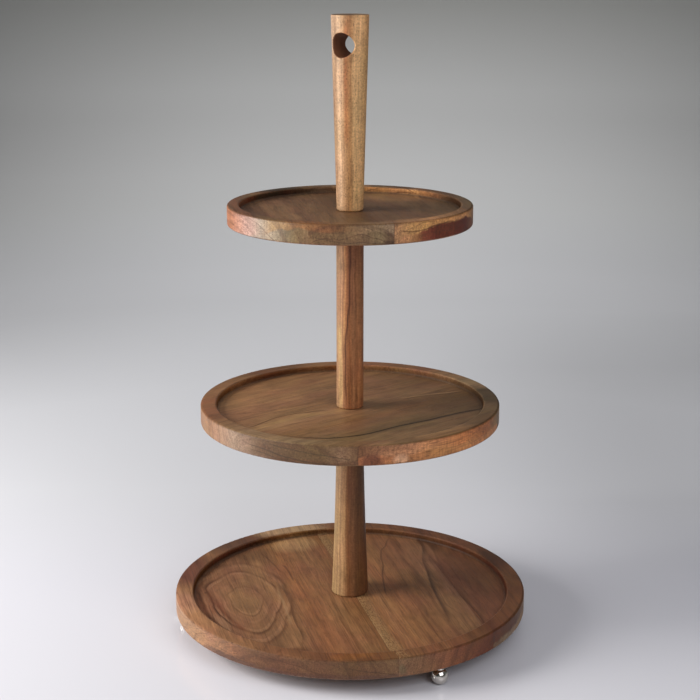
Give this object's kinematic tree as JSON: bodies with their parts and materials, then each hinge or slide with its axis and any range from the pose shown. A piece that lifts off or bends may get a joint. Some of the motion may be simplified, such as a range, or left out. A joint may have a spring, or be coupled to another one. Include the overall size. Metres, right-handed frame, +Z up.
{
  "type": "tiered serving stand",
  "caption": "Tiered wooden serving stand: round dished trays, smaller towards the top, on a turned post that ends in a flared handle with a finger hole, on polished metal ball feet.",
  "frame": {"origin": "on the post's axis, at the plane that the ball feet stand on", "axes": "+Z up along the post; -Y is the front; +X is to the right seen from the front; the left foot lies on -X"},
  "size_m": [0.36, 0.36, 0.6185],
  "materials": {
    "acacia_bottom_tray": "oiled acacia, flat-sawn boards with a swirl figure, satin",
    "acacia_middle_tray": "oiled acacia, greyer straight-grained boards, satin",
    "acacia_top_tray": "oiled acacia, grey-brown boards with orange end grain, satin",
    "acacia_lower_post": "turned acacia, pale sapwood down one side, satin",
    "acacia_middle_post": "turned acacia, red-brown with a pale edge, satin",
    "acacia_handle": "turned acacia sapwood, pale tan with small dark pores, satin",
    "nickel_plate": "polished nickel plate",
    "insert_brass": "machined",
    "zinc_steel": "zinc plated"
  },
  "bodies": {
    "root": {"ball_foot_back_right": "nickel_plate", "ball_foot_front_right": "nickel_plate", "ball_foot_left": "nickel_plate", "base_screw": "zinc_steel", "base_washer": "zinc_steel", "bottom_tray_board_1": "acacia_bottom_tray", "bottom_tray_board_2": "acacia_bottom_tray", "bottom_tray_board_3": "acacia_bottom_tray", "bottom_tray_board_4": "acacia_bottom_tray", "foot_screws": "zinc_steel", "handle_post": "acacia_handle", "joining_studs": "zinc_steel", "lower_post": "acacia_lower_post", "middle_post": "acacia_middle_post", "middle_tray_board_1": "acacia_middle_tray", "middle_tray_board_2": "acacia_middle_tray", "middle_tray_board_3": "acacia_middle_tray", "middle_tray_board_4": "acacia_middle_tray", "threaded_inserts": "insert_brass", "top_tray_board_1": "acacia_top_tray", "top_tray_board_2": "acacia_top_tray", "top_tray_board_3": "acacia_top_tray", "top_tray_board_4": "acacia_top_tray"}
  },
  "joints": []
}
